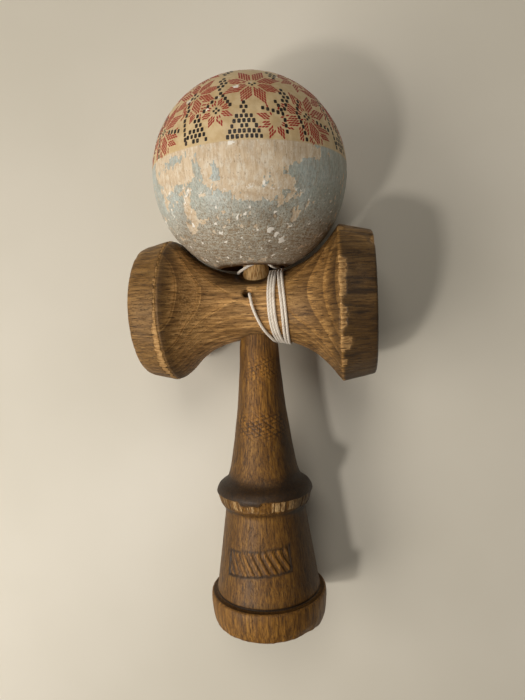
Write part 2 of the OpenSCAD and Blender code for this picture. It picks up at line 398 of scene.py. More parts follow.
def wood(name, tones, raw_tone, layer=None, move=(0, 0, 0), roughness=0.52, deep=1.0, line_share=0.5,
         lift=(1.75, 1.72, 1.66)):
    """Bare handled wood, its grain along local Z. tones are dark, middle and light.

    layer is the growth layers' (direction, spacing, start) in mm, and lift is what the pale places, painted light
    among them, are multiplied by.
    """
    tones, raw_tone = [linear(*tone) for tone in tones], linear(*raw_tone)
    m = Nodes(name, specular=0.35)
    wander = m.noise((0.05, 0.05, 0.02), 2, 0.5, move)
    streaks = m.noise((1.2, 1.2 * deep, 0.05), 6, 0.62, move, 0.25)
    threads = m.noise((2.5, 2.5 * deep, 0.20), 4, 0.65, move)
    vessels = m.noise((3.3, 3.3 * deep, 0.24), 1, 0.5, move)
    flecks = m.noise((3.6, 3.6, 1.1), 2, 0.5, move)
    breaks = m.noise((2.4, 2.4 * deep, 0.40), 2, 0.5, move)
    blotches = m.noise((0.11, 0.11, 0.07), 4, 0.55, move)
    shade = m.add(m.mul(streaks, 0.5), m.mul(threads, 0.5))
    colour = m.ramp(shade, [(0.38, tones[0]), (0.5, tones[1]), (0.62, tones[2])])
    step = None
    if layer:
        direction, spacing, start = layer
        dot = m.node("ShaderNodeVectorMath", operation="DOT_PRODUCT")
        m.plug(dot.inputs[0], m.coords())
        dot.inputs[1].default_value = Vector(direction).normalized()
        waver = m.mul(m.sub(m.noise((0.07, 0.07, 0.03), 2, 0.5), 0.5), 1.6)
        depth = m.sub(m.add(dot.outputs["Value"], waver), start)
        outer, inner = m.math("MAXIMUM", depth, 0.0), m.math("MINIMUM", depth, 0.0)
        turns = m.add(m.math("DIVIDE", outer, spacing), m.math("DIVIDE", inner, spacing * 0.45))
        part = m.math("FRACT", m.add(turns, 20.0), None)
        tone = m.node("ShaderNodeTexWhiteNoise", noise_dimensions="1D")
        m.plug(tone.inputs["W"], m.math("FLOOR", turns, None))
        strength = m.fit(tone.outputs[0], 0.0, 1.0, 0.65, 1.0, False)
        strength = m.mul(strength, m.attribute("layered"))
        late = m.mul(m.mul(m.math("POWER", part, 0.9), m.fit(part, 1.0, 0.94)), strength)
        colour = m.mix(late, colour, m.times(colour, (0.38, 0.34, 0.29, 1)))
        early = m.mul(m.fit(part, 0.45, 0.0), strength)
        colour = m.mix(m.mul(early, 0.45), colour, m.times(colour, (1.5, 1.47, 1.42, 1)))
        step = m.mul(m.sub(m.fit(part, 0.0, 0.12), m.mul(part, 0.8)), strength)
    lines = m.mul(m.fit(vessels, 0.37, 0.31), m.fit(breaks, 0.40, 0.50))
    colour = m.mix(m.mul(lines, line_share), colour, m.times(tones[0], (0.34, 0.29, 0.24, 1)))
    pores = m.fit(flecks, 0.41, 0.33)
    colour = m.mix(m.mul(pores, 0.50), colour, m.times(tones[0], (0.45, 0.40, 0.35, 1)))
    colour = m.mix(m.fit(blotches, 0.42, 0.68, 0.0, 0.4), colour, m.times(colour, (0.70, 0.64, 0.58, 1)))
    # pale worn wood and painted light, both lifted
    colour = m.mix(m.attribute("pale"), colour, m.times(colour, (*lift, 1)))
    # bare wood, and painted light on the cross piece's left flank
    raw = m.attribute("raw")
    torn = m.noise((2.4, 2.4, 0.30), 4, 0.6, move)
    raw_amount = m.fit(m.add(raw, m.mul(m.sub(torn, 0.5), 0.9)), 0.30, 0.62)
    raw_colour = m.mix(m.fit(torn, 0.38, 0.60), m.times(raw_tone, (0.55, 0.47, 0.38, 1)), raw_tone)
    raw_colour = m.mix(m.mul(lines, 0.6), raw_colour, tones[0])
    colour = m.mix(m.mul(raw_amount, 0.85), colour, raw_colour)
    # dirt and painted shade, darkening towards near black
    dirt = m.mul(m.attribute("dirt"), m.fit(streaks, 0.2, 0.7, 0.75, 1.0))
    colour = m.mix(dirt, colour, (0.017, 0.010, 0.006, 1))
    rough = m.fit(m.add(wander, m.mul(raw_amount, 0.35)), 0.3, 0.9, roughness - 0.07, roughness + 0.2, False)
    relief = m.sub(m.mul(threads, 0.6), m.mul(m.add(pores, lines), 0.6))
    relief = m.add(relief, m.mul(m.mul(torn, raw_amount), 1.2))
    if step:
        relief = m.add(relief, m.mul(step, 3.0))
    return m.finish(colour, rough, m.bump(relief, 0.10, 0.75))


def dress(obj, material, body, slot, *nodes):
    """Gives a finished piece its material and body, and hides the CAD nodes that it stands for; slot is not used."""
    obj.data.materials.clear()
    obj.data.materials.append(material)
    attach(obj, body)
    if nodes:
        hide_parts(*nodes)
    return obj


# ---------------- the cross piece's outline, shared with the string
CROSS_OUTLINE = np.array([
    (-27.0, 22.85), (-25.2, 22.0), (-23.2, 20.5), (-19.8, 17.0), (-16.4, 14.4), (-11.3, 12.05), (-6.5, 10.85),
    (-3.0, 10.45), (0.0, WAIST_R), (3.0, 10.45), (6.0, 10.65), (9.0, 11.15), (13.4, 12.75), (16.4, 14.15),
    (19.1, 15.9), (22.8, 19.5), (25.0, 22.2), (26.9, 24.65)])


def curve_through(knots, x):
    """Reads a smooth curve through knots of (x, value) at x."""
    kx, ky = knots[:, 0], knots[:, 1]
    slope = np.gradient(ky, kx)
    i = np.clip(np.searchsorted(kx, x) - 1, 0, len(kx) - 2)
    h = kx[i + 1] - kx[i]
    s = np.clip((x - kx[i]) / h, 0, 1)
    return ((2 * s**3 - 3 * s**2 + 1) * ky[i] + (s**3 - 2 * s**2 + s) * h * slope[i]
            + (3 * s**2 - 2 * s**3) * ky[i + 1] + (s**3 - s**2) * h * slope[i + 1])


def cross_r(x):
    return curve_through(CROSS_OUTLINE, np.asarray(x, float))


# ---------------- the string
def round_cross(x, r, ang):
    """A point beside the cross piece in the ken frame: along it, out from its axis, turned from the front."""
    a = math.radians(ang)
    return (x, CROSS_AT + r * math.sin(a), r * math.cos(a))


def along_knots(knots, n):
    """n points of a Catmull-Rom curve through knots, evenly spaced along it."""
    k = np.asarray(knots, float)
    k = np.vstack([2 * k[0] - k[1], k, 2 * k[-1] - k[-2]])
    out = []
    for a, b, c, d in zip(k, k[1:], k[2:], k[3:]):
        s = np.linspace(0, 1, 24, endpoint=False)[:, None]
        out.append(0.5 * (2 * b + (c - a) * s + (2 * a - 5 * b + 4 * c - d) * s * s + (3 * b - a - 3 * c + d) * s**3))
    p = np.vstack(out + [k[-2][None]])
    run = np.concatenate([[0], np.cumsum(np.linalg.norm(np.diff(p, axis=0), axis=1))])
    where = np.linspace(0, run[-1], n)
    return np.stack([np.interp(where, run, p[:, i]) for i in range(3)], 1), run[-1]


# the angles in front, from the top edge to the bottom one, and where each of the five turns lies there
FRONT = [90, 60, 30, 5, -20, -46, -72, -98]
TURNS = [
    [5.20, 5.20, 5.05, 5.10, 5.30, 5.80, 6.50, 6.85],
    [6.10, 6.05, 5.88, 5.94, 6.15, 6.68, 7.38, 7.76],
    [7.00, 6.90, 6.72, 6.78, 7.05, 7.55, 8.26, 8.62],
    [7.92, 8.00, 8.55, 9.12, 9.35, 9.35, 9.35, 9.50],
    [8.82, 8.98, 9.60, 10.15, 10.45, 10.45, 10.35, 10.38]]
# the lead out of the hole: place along the cross piece, angle and height above it
LEAD = [(0.15, 1, 0.42), (1.05, -14, 0.1), (2.3, -32, 0), (3.5, -47, 0), (4.72, -61, 0.1), (5.6, -76, 0.25),
        (6.05, -93, 0.3), (6.15, -116, 0.1)]


def string_knots():
    hug = STRING_D / 2
    # up the hole and out of it in an even bend
    side, out = 0.62, 9.3
    knots = [round_cross(HOLE_X + x, r, HOLE_ANG) for x, r in ((0, 1.2), (0, 3.6), (0.2, 6), (0.5, 8.2), (side, out))]
    for w in (0.4, 0.8, 1.2, 1.57):
        over = 1 - math.cos(w)
        knots.append(round_cross(HOLE_X + side + 0.6 * over, out + 2.2 * math.sin(w), HOLE_ANG - 11.8 * over))
    wound = list(LEAD)
    before = LEAD[-1][0]
    for number, turn_x in enumerate(TURNS):
        start = -360 * number
        for share in (0.28, 0.52, 0.76):
            wound.append((before + (turn_x[0] - before) * share, start - 90 - 180 * share, 0))
        wound += [(x, start - 360 + ang, 0.0) for x, ang in zip(turn_x, FRONT)]
        before = turn_x[-1]
    start = -360 * len(TURNS)
    wound += [(10.2, start - 125, 0), (9.9, start - 165, 0), (9.4, start - 205, 0.45), (8.6, start - 238, 0.95),
              (7.5, start - 262, 0.95)]
    for x, ang, lift in wound:
        knots.append(round_cross(x, float(cross_r(x)) + hug + lift, ang))
    # over the spike's foot in the ball's mouth, and down behind it
    knots += [(x, CROSS_AT + y, z) for x, y, z in (
        (5.8, 12.6, 3.4), (4.2, 13.7, 5), (1.9, 14.0, 5.4), (-0.9, 13.2, 5.3), (-3.3, 12.1, 4.6), (-5.1, 11.3, 2.8),
        (-5.6, 11.0, 0), (-4.7, 11.2, -3.2), (-3.5, 11.2, -7))]
    row = [in_row(p) for p in knots]
    # along the table behind the ball, and up its far side
    cross = in_row((0, CROSS_AT, 0))
    row += [Vector((cross.x + x * MM, cross.y + y * MM, z * MM)) for x, y, z in (
        (-2.8, 11.4, 12), (-2.6, 13.2, 5), (-4, 18.5, 1.2), (-6.5, 27, 0.7), (-8.5, 38, 0.7), (-8.5, 49, 0.7),
        (-7, 59, 1.2), (-4, 67, 4.5), (-1.5, 71.5, 11), (-0.3, 73.3, 19.5))]
    # in at the far pole, to the bead
    return row + [ball_centre + turn.to_3x3() @ (Vector((0, y, z)) * MM) for y, z in (
        (33.3, -4.6), (33.1, -2.6), (32.2, -0.95), (30.6, -0.12), (28.6, 0), (25.5, 0), (22, 0), (BEAD_AT, 0))]


def rope(name, path, diameter, lay_length, plies=3, sides=12, depth=0.12):
    """A twisted string as a closed tube about path (metres)."""
    p = np.asarray(path, float)
    t = np.gradient(p, axis=0)
    t /= np.linalg.norm(t, axis=1)[:, None]
    n = np.cross(t[0], (0.3, 0.2, 0.9))
    run = np.concatenate([[0], np.cumsum(np.linalg.norm(np.diff(p, axis=0), axis=1))])
    vertices, ply = [], []
    for i in range(len(p)):
        n = n - t[i] * n.dot(t[i])
        n /= np.linalg.norm(n)
        b = np.cross(t[i], n)
        spin = 2 * math.pi * run[i] / (lay_length * MM)
        for j in range(sides):
            a = 2 * math.pi * j / sides
            lobe = abs(math.cos((a - spin) * plies / 2))
            r = diameter / 2 * (1 - depth + depth * 1.35 * lobe)
            vertices.append(p[i] + r * (math.cos(a) * n + math.sin(a) * b))
            ply.append(lobe)
    faces = [(i * sides + j, i * sides + (j + 1) % sides, (i + 1) * sides + (j + 1) % sides, (i + 1) * sides + j)
             for i in range(len(p) - 1) for j in range(sides)]
    faces.append(tuple(range(sides - 1, -1, -1)))
    faces.append(tuple(range((len(p) - 1) * sides, len(p) * sides)))
    obj = mesh_object(name, vertices, faces)
    paint(obj, ply=ply)
    return obj


def string_material():
    m = Nodes("string_cotton", roughness=0.82, specular=0.2)
    m.shader.inputs["Sheen Weight"].default_value = 0.25
    m.shader.inputs["Sheen Roughness"].default_value = 0.5
    fibres = m.noise((5.5, 5.5, 5.5), 4, 0.7)
    darkening = m.noise((0.35, 0.35, 0.35), 3, 0.6)
    ply = m.attribute("ply")
    # painted shade: the string darker in the grooves between its plies
    colour = m.ramp(m.add(m.mul(fibres, 0.5), m.mul(ply, 0.5)),
                    [(0.2, linear(196, 178, 156)), (0.45, linear(228, 216, 200)), (0.75, linear(248, 242, 232))])
    colour = m.mix(m.fit(darkening, 0.5, 0.75, 0.0, 0.4), colour, linear(176, 152, 126))
    height = m.add(m.mul(fibres, 0.6), m.mul(ply, 0.4))
    return m.finish(colour, m.fit(fibres, 0.3, 0.7, 0.74, 0.92, False), m.bump(height, 0.12, 0.8))


string_path, string_length = along_knots([tuple(p) for p in string_knots()], 1250)
string = rope("string", string_path, DRAWN_D * MM, 3.2)
cotton = string_material()
string.data.materials.append(cotton)
# the slide is taken up by the run on the table behind the ball, 15 to 48 mm from the cross piece's axis
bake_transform(string)
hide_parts("string_lead", "string_winding", "string_tail")


def knot(name, centre, along, size, body, node):
    """A small pulled-tight overhand knot round the direction `along`."""
    u = Vector(along).normalized()
    v = u.orthogonal().normalized()
    w = u.cross(v)
    loop = []
    for k in range(140):
        a = 2 * math.pi * k / 140
        x, y, z = math.sin(a) + 2 * math.sin(2 * a), math.cos(a) - 2 * math.cos(2 * a), -math.sin(3 * a)
        loop.append(centre + (x * v + y * w) * size * 0.13 + z * u * size * 0.34)
    loop.append(loop[0])
    obj = rope(name, [tuple(p) for p in loop], 0.95 * MM, 3.6)
    return dress(obj, cotton, body, "string", node)


knot("end_knot_rope", ball_centre + axis * (BEAD_AT - 1.1) * MM, axis, 2.0 * MM, "string_end", "end_knot")
anchor_low, anchor_high = (in_row(round_cross(HOLE_X, r, HOLE_ANG)) for r in (-1, 1))
knot("anchor_knot_rope", (anchor_low + anchor_high) / 2, anchor_high - anchor_low, 1.9 * MM, "stick", "anchor_knot")

# ---------------- materials of the turned pieces
ken_wood = wood("handle_wood_worn", ((72, 46, 15), (124, 84, 31), (165, 119, 49)), (222, 184, 128),
                move=(3.1, 1.7, 0.4), line_share=0.42, lift=(1.75, 1.69, 1.5))
layer_turn = math.radians(15)
# the cross piece's pale places are mostly painted light, lifted most in blue
cross_wood = wood("cross_wood_worn", ((86, 60, 29), (139, 102, 53), (176, 136, 80)), (224, 178, 116),
                  layer=((math.sin(layer_turn), math.cos(layer_turn), 0.0925), 4.45, 12.0), move=(7.7, 5.2, 2.9),
                  deep=0.16, line_share=0.9, lift=(2.08, 2.2, 2.7))
bead_wood = wood("bead_wood_plain", ((150, 116, 76), (188, 154, 108), (210, 180, 136)), (214, 180, 130),
                 move=(1.3, 8.2, 5.5))

# ---------------- the handle
NECK = np.array([
    (47.7, 11.85), (49.0, 11.4), (52.7, 10.55), (56.0, 10.0), (59.0, 9.5), (62.5, 9.0), (66.0, 8.5), (69.0, 8.05),
    (72.0, 7.72), (75.5, 7.4), (79.0, 7.1), (82.0, 6.78), (85.4, 6.52), (88.7, 6.38), (91.6, 6.13)])


def handle_profile():
    cup = [(BASE_CUP_R * math.sin(a), BASE_CUP_DEPTH * math.cos(a)) for a in np.radians(np.arange(0, 87, 4))]
    foot = [(BASE_CUP_R, 0.1, 0.5), (17.5, 0, 0.5), (18.2, 0.5, 0.6), (18.72, 3.0, 1), (18.95, 5.2, 1),
            (19.1, 7.5, 1), (19.02, 9.2, 0.5), (18.55, 9.75, 0.35), (17.3, 9.55, 0.3), (16.75, 9.75, 0.2),
            (16.7, 10.15, 0.2), (17.0, 10.5, 0.3), (16.95, 11.2, 0.4)]
    cone = [(17.0 - (17.0 - 13.28) * s, 10.6 + 24.9 * s) for s in (0.08, 0.3, 0.6, 0.9, 1.0)]
    flange = [(13.22, 36.6, 1.2), (13.45, 37.7, 0.8), (14.5, 39.1, 0.5), (15.0, 39.7, 0.4), (15.55, 41.6, 0.6),
              (15.85, 42.9, 0.5), (15.6, 43.9, 0.6), (14.9, 45.0, 0.8), (13.7, 45.85, 0.9), (12.55, 46.7, 0.9)]
    neck = [(float(curve_through(NECK, t)), t) for t in np.arange(47.7, 91.6, 1.4)]
    spike_at, tip_at = 114.1, SPIKE_END - TIP_R
    spike_r = TENON_R - TENON_TAPER * (spike_at - CROSS_AT)
    spike = [(6.13, 91.6), (spike_r, spike_at, 2)]
    spike += [(spike_r + (TIP_R - spike_r) * s, spike_at + (tip_at - spike_at) * s) for s in (0.25, 0.5, 0.75, 1.0)]
    spike += [(TIP_R * math.cos(a), tip_at + TIP_R * math.sin(a)) for a in np.radians(np.arange(15, 90, 15))]
    return rounded(cup + foot + cone + flange + neck + spike + [(0, SPIKE_END)], 0.8,
                   [(8.8, 12.0, 0.22), (18.5, 27, 0.3), (36, 48, 0.28), (60, 88, 0.33)])


def make_handle():
    obj = lathe("ken_turned", handle_profile(), 384, AT_HANDLE)
    p = points_of(obj)
    r, ang, t = cylindrical(p)
    front = np.arctan2(p[:, 0], -p[:, 1])
    outside = rise(r, 3, 6) * np.where((t < 7) & (r < BASE_CUP_R - 0.2), 0, 1)
    ring = wrapped(ang, 12, t)
    # soft unevenness of handled wood, drawn out along the grain
    out = r + outside * (0.10 * fractal(ring, (9, 9, 22), 3, 5) + 0.035 * fractal(ring, (1.6, 1.6, 6), 3, 9))
    # the flange's edge is beaten into upright chips below a crisp upper line
    broken = span(front, -0.42, -0.36, 0.02, 0.10)
    top = 42.75 - 1.25 * broken + 0.35 * line_noise(front * 9, 1, 31, 3)
    band = span(t, 39.2, 39.7, top - 0.12, top + 0.12)
    slits = line_noise(front * 26 + 0.5 * noise(ring, 2.0, 23), 1, 21, 2)
    worn = 0.45 + 0.55 * rise(line_noise(front * 3, 1.3, 4, 2), -0.45, 0.25)
    out -= band * (0.30 + 0.55 * np.clip(-slits, 0, 0.8)) * worn
    low_edge = hump(t - 39.4, 0.5) * np.clip(line_noise(front * 13, 1, 33, 3), 0, 1)
    out -= 0.5 * low_edge
    # the base disc's lower edge is bruised, most of all to the right of the front
    bruise = np.clip(0.5 * line_noise(front * 6, 1, 41, 3) + 0.05 + 0.7 * hump(front - 0.8, 0.3), 0, 1.0)
    foot = hump(t - 0.6, 1.5) * (r > 16.5)
    out -= 0.75 * foot * bruise
    disc = (t < 9.9) & (r > 16.5)
    out += np.where(disc, 0.10 * fractal(wrapped(ang, 19, t), (1.2, 1.2, 3.5), 3, 44), 0)
    raw = band * (0.12 + 0.75 * rise(slits, -0.2, 0.2)) * worn * (0.75 + 0.4 * rise(front, 0, 0.5))
    raw += 0.3 * foot * bruise
    raw += 0.22 * disc * rise(fractal(ring, (1.4, 1.4, 5), 3, 47), 0.12, 0.55)
    # darker in the groove above the base disc and at the cone's foot, below and on top of the flange, near the cross
    # piece and inside the base cup
    groove = hump(t - 10.0, 0.42) * (r < 18.4)
    dirt = 1.0 * groove + 0.35 * hump(t - 11.2, 1.3)
    dirt += 0.45 * hump(t - 38.2, 0.9) + 0.72 * span(t, top, top + 0.4, 45.5, 50.5)
    dirt += 0.22 * span(t, 84, 92, 104, 109) + 0.25 * (r < BASE_CUP_R) * (t < 7)
    # grime in patches, and all along from the cone to the middle of the neck
    rub = 0.06 + 0.20 * rise(fractal(ring, (6, 6, 16), 3, 51), 0.0, 0.6)
    dirt += rub * outside + 0.12 * span(t, 12, 15, 58, 66)
    # the spike is rubbed bare, and the neck is torn in lines along the grain
    raw += 0.55 * rise(t, 108, 111)
    tear = span(t, 60, 64, 84, 88) * rise(fractal(ring, (1.1, 1.1, 7), 3, 57), 0.25, 0.6)
    raw += 0.35 * tear
    # a carved panel of plain slanted bars on the cone, and worn hatching on the neck
    across, up = front * CONE_R + 0.8, t - 23.5 - 0.10 * front * CONE_R
    half_width, half_height = 10.6 + 0.5 * line_noise(t, 1.1, 61, 2), 3.8 + 0.4 * line_noise(front * 15, 1.3, 63, 2)
    edge = np.minimum(half_width - np.abs(across), half_height - np.abs(up))
    panel = rise(edge, 0, 0.35) * (r > 13.5)
    strand = 0.60 - np.abs(((across + 0.55 * up) / 2.35) % 1 - 0.5) * 2
    raised = rise(strand, 0.0, 0.2) * rise(edge, 0.3, 0.7) * panel
    outline = panel * hump(strand, 0.16) + hump(edge, 0.38) * (r > 13.5)
    low_hatch = patch((t - 65) / 4.2, (front - 0.05) / 0.95)
    hatch = np.maximum(low_hatch, 0.8 * patch((t - 83) / 4.0, (front - 0.25) / 0.8))
    level, slanted = (t - 2.2 * front) / 1.15, (t + 6.5 * front) / 1.7
    weave = np.maximum(np.abs(level % 1 - 0.5), np.abs(slanted % 1 - 0.5)) * 2
    cuts = hatch * rise(weave + 0.35 * fractal(ring, (1.2, 1.2, 1.2), 2, 65), 0.72, 0.95)
    dirt += 0.68 * np.clip(outline, 0, 1) + 0.70 * cuts
    out -= 0.32 * np.clip(panel - raised, 0, 1) + 0.16 * cuts
    p = with_radius(p, np.where(r > 0.01, out, r))
    p[:, 2] += np.where(foot > 0.05, 0.35 * foot * bruise, 0)
    set_points(obj, p)
    # painted shade: the sides darker than the front, the right side most
    shaft = span(t, 10.6, 14, 84, 92)
    dirt += shaft * (0.54 * rise(front, 0.35, 1.0) + 0.32 * rise(-front, 0.35, 0.9)) * (r > 6.2)
    pale = 0.62 * raised + 0.55 * hatch * (1 - cuts) + 1.0 * rise(t, 108, 111)
    # painted highlight: a lighter strip down the neck's front and a lighter front on the base disc
    pale += 0.28 * rise(t, 57, 68) * hump(front, 0.45) + 0.12 * disc * hump(front, 0.8)
    paint(obj, pale=pale * (0.8 + 0.5 * fractal(ring, (4, 4, 12), 3, 59)), raw=raw, dirt=dirt)
    return dress(obj, ken_wood, "stick", "handle_wood", "ken")


# ---------------- the cross piece
def cross_profile():
    def bowl(rim, depth, end, side):
        return [(rim * math.sin(a), side * (end - depth * math.cos(a))) for a in np.radians(np.arange(0, 88, 4))]

    small_rim, big_rim = SMALL["end"] - SMALL["lip"], BIG["end"] - BIG["lip"]
    out = bowl(small_rim, SMALL["depth"], SMALL["end_at"], -1)
    out += [(small_rim, -SMALL["end_at"] + 0.05, 0.5), (SMALL["end"] - 0.2, -SMALL["end_at"], 2.0),
            (21.35, -34.2, 2.4), (21.9, -31.5, 2), (22.55, -28.6, 1), (22.85, -27.1, 0.35), (22.3, -26.7, 0.3)]
    out += [(float(cross_r(x)), x) for x in np.arange(-26.0, 26.1, 1.0)]
    out += [(24.2, 26.6, 0.3), (24.65, 27.0, 0.35), (24.3, 28.6, 1), (23.6, 31.6, 2), (22.9, 34.6, 1.5),
            (22.35, 36.7, 0.5), (21.75, 37.1, 0.4), (big_rim, 37.05, 0.5)]
    out += list(reversed(bowl(big_rim, BIG["depth"], BIG["end_at"], 1)))
    return rounded(out, 0.75, [(-3.6, 1.2, 0.16), (-28.4, -24.5, 0.3), (25, 29.5, 0.3)])


def make_cross():
    obj = lathe("sarado_turned", cross_profile(), 384, AT_CROSS)
    p = points_of(obj)
    r, _, x = cylindrical(p)
    ang = np.arctan2(p[:, 0], p[:, 1])
    ring = np.stack([p[:, 0], p[:, 1], x], 1)
    rim_in = np.where(x < 0, SMALL["end"] - SMALL["lip"], BIG["end"] - BIG["lip"])
    depth = np.where(x < 0, x + SMALL["end_at"], BIG["end_at"] - x)
    bowl = (r < rim_in + 0.1) & (depth < 12) & (r < 21) & (np.abs(x) > 24.5)
    outside = np.where(bowl, 0.25, 1.0)
    near_string = hump(x - 7.5, 4)
    uneven = 0.16 * fractal(ring, (11, 11, 20), 3, 61) + 0.04 * fractal(ring, (1.7, 1.7, 6), 3, 63)
    out = r + outside * (1 - 0.8 * near_string) * uneven
    raw, dirt, shift_x = np.zeros(len(p)), np.zeros(len(p)), np.zeros(len(p))
    # beaten bands outside both ridges
    for side, ridge_at, seed in ((-1, SMALL["ridge_at"], 71), (1, BIG["ridge_at"], 81)):
        band = rise(side * x, ridge_at - 0.3, ridge_at + 0.8) * (1 - bowl)
        cuts = fractal(wrapped(ang, 22, x * 0.3), (1.0, 1.0, 2.4), 4, seed)
        dents = fractal(ring, (4.2, 4.2, 4.2), 2, seed + 3)
        out -= band * (0.10 * np.clip(cuts, -0.5, 1) + 0.32 * np.clip(dents - 0.22, 0, 1))
        dirt += band * (0.30 * rise(cuts, 0.12, 0.5) + 0.10)
        # a bare strip along the ridge, in teeth low on the small cup's side and in patches on the big cup's
        where = line_noise(ang * 7, 1, seed + 5, 3)
        ragged = fractal(np.stack([ang * 22, x * 0.8, np.zeros(len(x))], 1), (0.8, 0.8, 1), 3, seed + 7)
        past = side * x - ridge_at
        if side < 0:
            low = hump(ang + 0.85, 0.36)
            reach = (0.15 + 1.2 * hump(ang + 0.50, 0.5)) * fall(np.abs(ang), 1.5, 1.9)
            reach = reach + 0.55 * where + 0.9 * low
            depth_of = 0.10 + 1.0 * low
        else:
            places = ((0.30, 0.25, 2.6), (-0.17, 0.15, 2.1), (-0.50, 0.11, 3.1), (-0.79, 0.06, 1.8),
                      (1.14, 0.10, 1.9), (2.0, 0.3, 2.2), (-2.3, 0.4, 2.0))
            reach = -0.5 + sum(length * fall(np.abs(ang - a), 0.75 * w, 1.15 * w) for a, w, length in places)
            reach = reach + 0.5 * where
            depth_of = 0.12 + 0.14 * np.clip(reach, 0, 3)
        bare = rise(reach + 0.8 * ragged - past, -0.15, 0.35) * rise(past, -0.5, -0.1) * (1 - bowl)
        out -= 0.22 * bare * rise(past, -0.2, 0.2)
        raw += (0.95 if side < 0 else 0.62) * bare
        # the edge itself wanders along the cross piece
        teeth = line_noise(ang * 15, 1, seed + 11, 2) + 0.6 * line_noise(ang * 34, 1, seed + 13)
        shift_x += side * hump(past, 1.0) * depth_of * np.clip(teeth, -0.5, 0.9)
        rim = hump(depth, 0.9) * (np.abs(r - np.where(side < 0, 20.4, 21.9)) < 2.2) * (side * x > 0)
        nick = np.clip(line_noise(ang * 9, 1, seed + 9, 3) - 0.1, 0, 1)
        out -= 0.7 * rim * nick
        raw += 0.25 * rim + 0.6 * rim * nick
        # painted shade on the flank just inside each ridge
        shade_inside_ridge = hump(side * x - ridge_at + 1.4, 1.2) * (1 - bowl) * fall(past, -0.6, -0.1)
        dirt += 0.35 * shade_inside_ridge
    # one long splinter lost from the big cup's rim
    chip = hump(ang - 0.95, 0.10) * rise(x, 34.6, 36.6) * (1 - bowl)
    out -= 1.3 * chip
    raw += 0.8 * chip
    # the string's hole, with a lifted splinter at its edge
    up, across = math.sin(math.radians(HOLE_ANG)), math.cos(math.radians(HOLE_ANG))
    u, w = p[:, 2] - HOLE_X, p[:, 0] * across - p[:, 1] * up
    facing = p[:, 0] * up + p[:, 1] * across > 0
    beside = facing & (np.abs(x) < 6)
    away = np.hypot(u + 0.1, w - 0.1) + 0.10 * fractal(ring, (0.7, 0.7, 0.9), 2, 91)
    sunk = fall(away, HOLE_D / 2 - 0.05, HOLE_D / 2 + 0.25) * facing
    out = np.where(sunk > 0, out - 5.0 * sunk, out)
    ring_edge = hump(away - HOLE_D / 2 - 0.45, 0.25) * beside
    out -= 0.12 * ring_edge
    side_of = hump(np.arctan2(w, u) - 0.75, 0.6)
    splinter = patch((u - 1.25) / 1.6, (w - 1.55) / 0.85) * beside * (1 - sunk)
    bright = rise(splinter, 0.30, 0.5)
    raw += 0.8 * ring_edge * side_of + 2.2 * bright
    out += 0.15 * ring_edge * side_of - 0.15 * splinter
    # painted shade inside the hole, and the ring round it darker away from the lifted side
    dirt += 0.95 * sunk + 0.35 * ring_edge * (1 - side_of) * (1 - splinter)
    near_hole = hump(away, 4.0) * facing * (np.abs(x) < 8)
    dirt += 0.15 * near_hole
    dirt += 0.30 * bowl + 0.10 * rise(fractal(ring, (7, 7, 15), 3, 97), 0.05, 0.6)
    # where the neck enters from below and the spike leaves above
    seam = hump(np.hypot(x, p[:, 1]) - 6.3, 1.2) * (np.abs(p[:, 0]) > 7)
    dirt += 0.45 * seam
    # worn down a little in front of the spike
    out -= 1.0 * hump(np.hypot(x, p[:, 1] - 1.5) - 4, 2.6) * (p[:, 0] > 7) * rise(p[:, 1], 0.5, 3.5)
    p = with_radius(p, np.where(r > 0.01, out, r))
    p[:, 2] += shift_x
    set_points(obj, p)
    inside = (x > -26.4) & (x < 26.3)
    # painted light: the left flank and the waist made paler
    pale = 1.2 * span(-x, 8, 12, 21, 24.5) + 0.92 * fall(np.abs(x + 3), 9, 16)
    pale *= 0.85 + 0.4 * fractal(ring, (6, 6, 16), 3, 99)
    # the big cup's band is the darkest place; bare is still that side's strip
    dark_band = rise(x, 26.9, 28.0) * fall(ang, 0.55, 1.0) * (1 - 0.5 * bare) * (1 - bowl)
    dirt += 0.76 * dark_band * (0.85 + 0.3 * fractal(ring, (5, 5, 12), 3, 98))
    # painted shadow of the ball across the top of the waist
    dirt += 0.55 * span(ang, 0.56, 0.80, 1.9, 2.4) * fall(np.abs(x + 1), 9, 15)
    # painted light on the right flank; the splinter's bare wood paler
    pale += 0.2 * span(x, 11, 14, 22, 25) + bright
    dirt -= 0.8 * bright
    layered = np.where(inside, 1 - 0.75 * near_string, 0.25) * (1 - 0.6 * near_hole)
    # painted light: the left flank given more of the pale bare-wood tone
    left_flank = span(-x, 12, 16, 20.5, 23.5)
    raw += 0.36 * left_flank * (1 - 0.6 * rise(np.abs(ang), 0.7, 1.1))
    paint(obj, pale=pale, layered=layered, raw=raw, dirt=dirt)
    return dress(obj, cross_wood, "stick", "cross_wood", "sarado")


make_handle()
make_cross()


# ---------------- the ball
def ball_angles(p):
    """Longitude from the front and latitude towards the string's end, in degrees."""
    return np.degrees(np.arctan2(p[:, 0], -p[:, 1])), np.degrees(np.arctan2(p[:, 2], np.hypot(p[:, 0], p[:, 1])))


def spot(lon, lat, at_lon, at_lat, width, height):
    """1 in the middle of an oval of these half sizes, falling to 0, all in degrees."""
    aside = ((lon - at_lon + 180) % 360 - 180) * np.cos(np.radians(lat))
    return np.exp(-((aside / width) ** 2) - ((lat - at_lat) / height) ** 2)


PRINT_EDGE = 3.6
